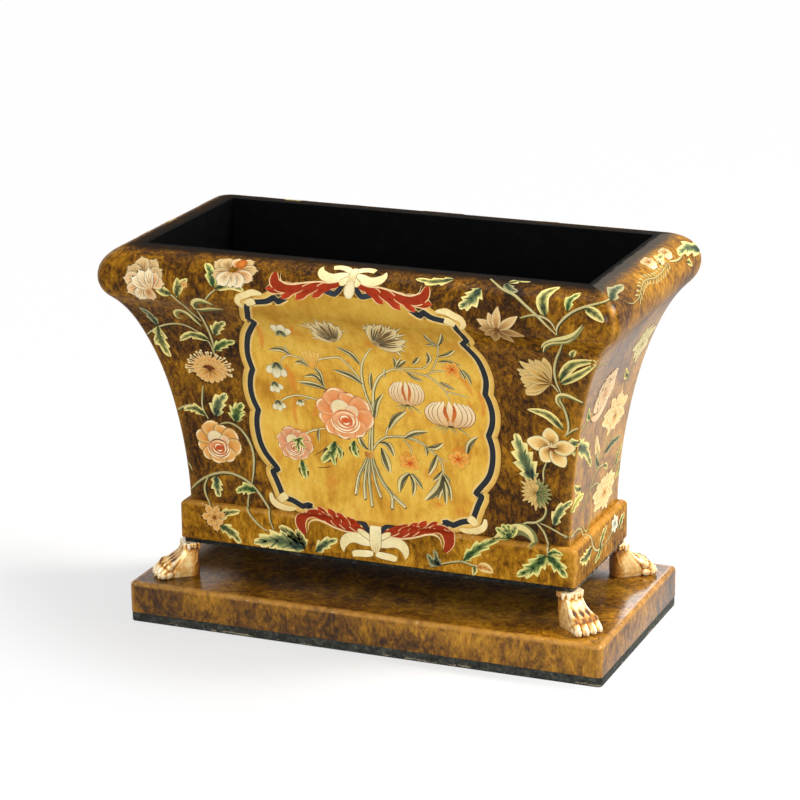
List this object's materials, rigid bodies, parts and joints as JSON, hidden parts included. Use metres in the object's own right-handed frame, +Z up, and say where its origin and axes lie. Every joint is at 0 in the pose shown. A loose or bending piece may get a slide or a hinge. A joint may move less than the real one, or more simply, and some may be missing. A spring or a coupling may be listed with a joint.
{
  "type": "rectangular jardiniere",
  "caption": "Flared rectangular wooden vase with a rounded rim, painted with flowers and leaves, on gilt lion's-paw feet and a low plinth. It holds flowers or potted plants.",
  "frame": {"origin": "middle of the plinth's underside, where the vase stands", "axes": "+X along the length, +Y from the front to the back, +Z up"},
  "size_m": [0.427, 0.221, 0.312],
  "materials": {
    "painted_wood": "ochre and brown stippled paint with painted flowers, varnished",
    "black_paint": "worn black paint, satin",
    "plinth_paint": "ochre and brown mottled paint, varnished",
    "ebonised_wood": "dark grey, satin, worn at the edge",
    "gilt": "gilded, bright on the high places and brown in the hollows",
    "screw_steel": "plain"
  },
  "bodies": {
    "root": {"side_front": "painted_wood", "side_right": "painted_wood", "side_back": "painted_wood", "side_left": "painted_wood", "foot_moulding_front": "painted_wood", "foot_moulding_right": "painted_wood", "foot_moulding_back": "painted_wood", "foot_moulding_left": "painted_wood", "floor_board": "black_paint", "under_board": "black_paint", "plinth_board": "plinth_paint", "plinth_band": "ebonised_wood", "paw_foot_front_left": "gilt", "paw_foot_front_right": "gilt", "paw_foot_back_right": "gilt", "paw_foot_back_left": "gilt", "foot_screw_front_left": "screw_steel", "foot_screw_front_right": "screw_steel", "foot_screw_back_right": "screw_steel", "foot_screw_back_left": "screw_steel", "plinth_screw_front_left": "screw_steel", "plinth_screw_front_right": "screw_steel", "plinth_screw_back_right": "screw_steel", "plinth_screw_back_left": "screw_steel"}
  },
  "joints": []
}
